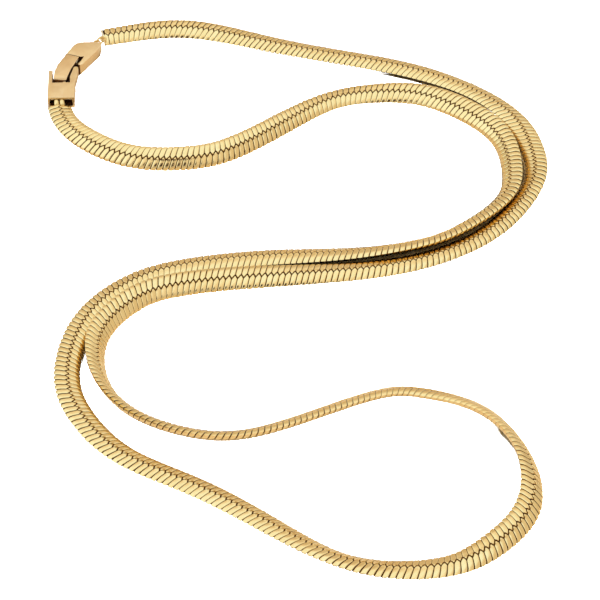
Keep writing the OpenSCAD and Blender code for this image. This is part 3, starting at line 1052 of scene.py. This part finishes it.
# %% [markdown]
# ## The clasp's gold
#
# The clasp's flat tops are brushed along their length and look paler and softer than the plates.
# The rounded edges are rubbed bright and also painted paler as a highlight. Lever, body and box
# share one recipe with another brushing direction each, because each was brushed before the clasp
# was put together. Inside the mouth and the pocket, far below the tops, the gold is painted dull
# and dark as painted shade.

# %% Gold of the clasp
def brushed_gold(name, turn, pale, warm):
    """Satin gold with brushing along a direction, a film of handling and rubbed edges, painted
    paler as a highlight.
    """
    material, tree, sockets = start_material(name)
    lines = use(tree, brushing, Turn=math.radians(turn), Fineness=2600.0, Length=260.0)
    film = use(tree, handling, Size=420.0, Cover=1.0)["Mask"]
    wear_and_sheen = use(tree, edge_wear_and_sheen, Rim=read(tree, "rim"), Size=1500.0, Amount=1.0)["Mask"]
    dull = tuple(part * share for part, share in zip(pale, (0.95, 0.9, 0.82, 1)))
    brushed = blend(tree, lines["Streak"], warm, pale)
    # the rims are painted a pale, nearly white gold: wear and a painted highlight
    edged = blend(tree, wear_and_sheen, blend(tree, film, brushed, dull), (1.0, 0.90, 0.66, 1))
    fill(tree, sockets["Base Color"], edged)
    soft = remap(tree, film, To_Min=0.30, To_Max=0.42)
    clamped = {"operation": "MULTIPLY_ADD", "use_clamp": True}
    polished = add(tree, "Math", clamped, _0=wear_and_sheen, _1=-0.14, _2=soft)
    fill(tree, sockets["Roughness"], polished.outputs[0])
    swell = use(tree, unevenness, Size=430.0)["Height"]
    waves = bump(tree, swell, Strength=1.0, Distance=0.00012)
    relief = bump(tree, lines["Height"], Normal=waves, Strength=0.35, Distance=0.00003)
    fill(tree, sockets["Normal"], relief)
    return material


CLASP_PALE, CLASP_WARM = (0.96, 0.72, 0.40, 1), (0.88, 0.60, 0.285, 1)
LEVER_PALE, LEVER_WARM = (0.93, 0.665, 0.35, 1), (0.87, 0.59, 0.285, 1)
# the insides' dark colours are painted shade
INSIDE_DARK, INSIDE_BROWN = (0.10, 0.028, 0.008, 1), (0.20, 0.08, 0.02, 1)
PIN_DULL = (0.75, 0.5, 0.2, 1)
box_gold = brushed_gold("box_gold", 2, CLASP_PALE, CLASP_WARM)
body_gold = brushed_gold("body_gold", -31, CLASP_PALE, CLASP_WARM)
lever_gold = brushed_gold("lever_gold", -18, LEVER_PALE, LEVER_WARM)
wire_gold = brushed_gold("wire_gold", 45, PALE_GOLD, WARM_GOLD)
pin_gold = filmed_metal("pin_gold", 1400.0, WARM_GOLD, PIN_DULL, 0.25, 0.45)
inside_dark = filmed_metal("inside_dark", 700.0, INSIDE_DARK, INSIDE_BROWN, 0.5, 0.7)
print("clasp golds ready")

# %% [markdown]
# ## Dress the construction model
#
# Each piece gets its finish, rides on its body and stands for the solid that it replaces. The
# lever's pieces ride on the lever; all the rest lies still on the necklace. The hinge pin is a
# plain pin in real life too, so its solid stays and only gets its material.

# %% Finishes, bodies and stand-ins
def dress(piece, material, node, second=None, body="necklace"):
    """Give a piece its one or two finishes, the solid it replaces and its body."""
    chosen = [face.material_index for face in piece.data.polygons]
    piece.data.materials.clear()
    for one in (material, second) if second else (material,):
        piece.data.materials.append(one)
    piece.data.polygons.foreach_set("material_index", chosen)
    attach(piece, body)
    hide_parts(node)


for piece, node in CHAIN_PARTS:
    dress(piece, plate_gold, node)
for piece, node in CORES:
    dress(piece, core_brown, node)
dress(catch_box, box_gold, "catch_box", inside_dark)
dress(clasp_body, body_gold, "clasp_body", inside_dark)
dress(lever, lever_gold, "lever", inside_dark, body="lever")
WIRES = [
    ([bar, arm_bead], "catch_box", "clasp_gold"),
    ([body_eye], "clasp_body", "clasp_gold"),
    ([joining_ring], "joining_ring", "ring_gold"),
    ([near_cap] + near_loops, "near_end_link", "ring_gold"),
    ([far_cap, far_eye, far_stem], "far_end_link", "ring_gold"),
]
for pieces, node, slot in WIRES:
    for piece in pieces:
        dress(piece, wire_gold, node)
pin = frame["nodes"]["hinge_pin"]
pin.data.materials.clear()
pin.data.materials.append(pin_gold)

# %% [markdown]
# ## Table and light
#
# Polished gold shows nothing but what surrounds it, so its light comes from a sky. The near
# halves of the plates mirror the bright top, the flats the middle, the far halves the dim
# horizon, which gives the chain its pale, golden and brown bands. The table is white to the eye,
# but in mirror images it is made dimmer: a real white table also lies in the object's own shade
# just where the plates' flanks see it.

# %% Floor
FLOOR_WHITE, FLOOR_MIRRORED = (0.95, 0.95, 0.95, 1), (0.145, 0.124, 0.100, 1)
floor = new_piece("floor", [(-3, -3, 0), (3, -3, 0), (3, 3, 0), (-3, 3, 0)], [(0, 1, 2, 3)])
floor_white = bpy.data.materials.new("floor_white")
floor_white.use_nodes = True
tree = floor_white.node_tree
bright = tree.nodes["Principled BSDF"]
bright.inputs["Base Color"].default_value = FLOOR_WHITE
bright.inputs["Roughness"].default_value = 0.9
bright.inputs["Specular IOR Level"].default_value = 0.1
dim = add(tree, "BsdfDiffuse", Color=FLOOR_MIRRORED)
mirrored = add(tree, "LightPath").outputs["Is Glossy Ray"]
pick = add(tree, "MixShader", _0=mirrored, _1=bright.outputs[0], _2=dim.outputs[0])
fill(tree, tree.nodes["Material Output"].inputs["Surface"], pick.outputs[0])
floor.data.materials.append(floor_white)
floor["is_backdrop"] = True
print("the floor mirrors as", FLOOR_MIRRORED[:3])

# %% [markdown]
# The sky is painted from a plain gradient and a few soft patches, each given by a direction and
# two angles. A window on the left and a ceiling make the pale lights on the plates. The dim parts
# behind and on the right keep the gold deep there. One narrow dark thing stands in front, and
# shows as a row of dark spots where the plates' edges face it.

# %% Sky
SKY_BASE = [(0.0, 0.55), (0.25, 0.72), (0.6, 0.94), (1.0, 1.05)]
SKY_TINT = (1.02, 1, 0.95)
# name, direction, half-width in degrees where it is full and where it ends, colour
SKY_PATCHES = [
    ("left_window", (-0.87, -0.17, 0.46), 20, 52, (1.14, 1.32, 1.50)),
    ("ceiling", (0.0, 0.05, 1.0), 16, 42, (1.06, 1.24, 1.40)),
    ("dim_back", (0.0, 0.97, 0.22), 12, 36, (0.70, 0.61, 0.50)),
    ("dim_right", (0.88, -0.10, 0.45), 15, 45, (0.80, 0.74, 0.64)),
    ("dark_stand", (-0.06, -0.87, 0.49), 12, 16, (0.04, 0.015, 0.008)),
]
world = bpy.data.worlds.new("studio")
bpy.context.scene.world = world
world.use_nodes = True
tree = world.node_tree
way = add(tree, "TexCoord").outputs["Generated"]
height = add(tree, "SeparateXYZ", Vector=way).outputs["Z"]
ramp = add(tree, "ValToRGB", Fac=height)
stops = ramp.color_ramp.elements
while len(stops) < len(SKY_BASE):
    stops.new(0.5)
for stop, (at, level) in zip(stops, SKY_BASE):
    stop.position = at
    stop.color = (*(level * tint for tint in SKY_TINT), 1)
painted = ramp.outputs["Color"]
for _, direction, full, end, colour in SKY_PATCHES:
    aim = tuple(Vector(direction).normalized())
    toward = vector_math(tree, "DOT_PRODUCT", _0=way, _1=aim).outputs["Value"]
    outer, inner = math.cos(math.radians(end)), math.cos(math.radians(full))
    patch = remap(tree, toward, "SMOOTHSTEP", From_Min=outer, From_Max=inner)
    painted = blend(tree, patch, painted, colour + (1,))
fill(tree, tree.nodes["Background"].inputs["Color"], painted)
world.cycles_visibility.diffuse = False
print("painted on the sky:", [patch[0] for patch in SKY_PATCHES])

# %% [markdown]
# Two lamps, one above and one low in front, whiten the table. The low one reaches under a single
# raised strand, but not between two strands, so only the gap between them stays dark. The lamps
# stay out of the mirror images.

# %% Lamps
# name, place, width and watts
LAMPS = [
    ("above", (-0.43, 0.00, 1.10), 0.22, 40),
    ("front", (0.37, -1.05, 0.38), 0.12, 135),
]
for side, spot_at, across, watts in LAMPS:
    lamp = bpy.data.lights.new(f"table_light_{side}", "AREA")
    lamp.size = across
    lamp.energy = watts
    stand = bpy.data.objects.new(f"table_light_{side}", lamp)
    stand.location = spot_at
    stand.rotation_euler = (-stand.location).to_track_quat("-Z", "Y").to_euler()
    stand.visible_glossy = False
    bpy.context.scene.collection.objects.link(stand)
bpy.context.scene.view_settings.view_transform = "Standard"
print("lamps:", [lamp[0] for lamp in LAMPS])

# %% The object's bounds
low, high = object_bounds()
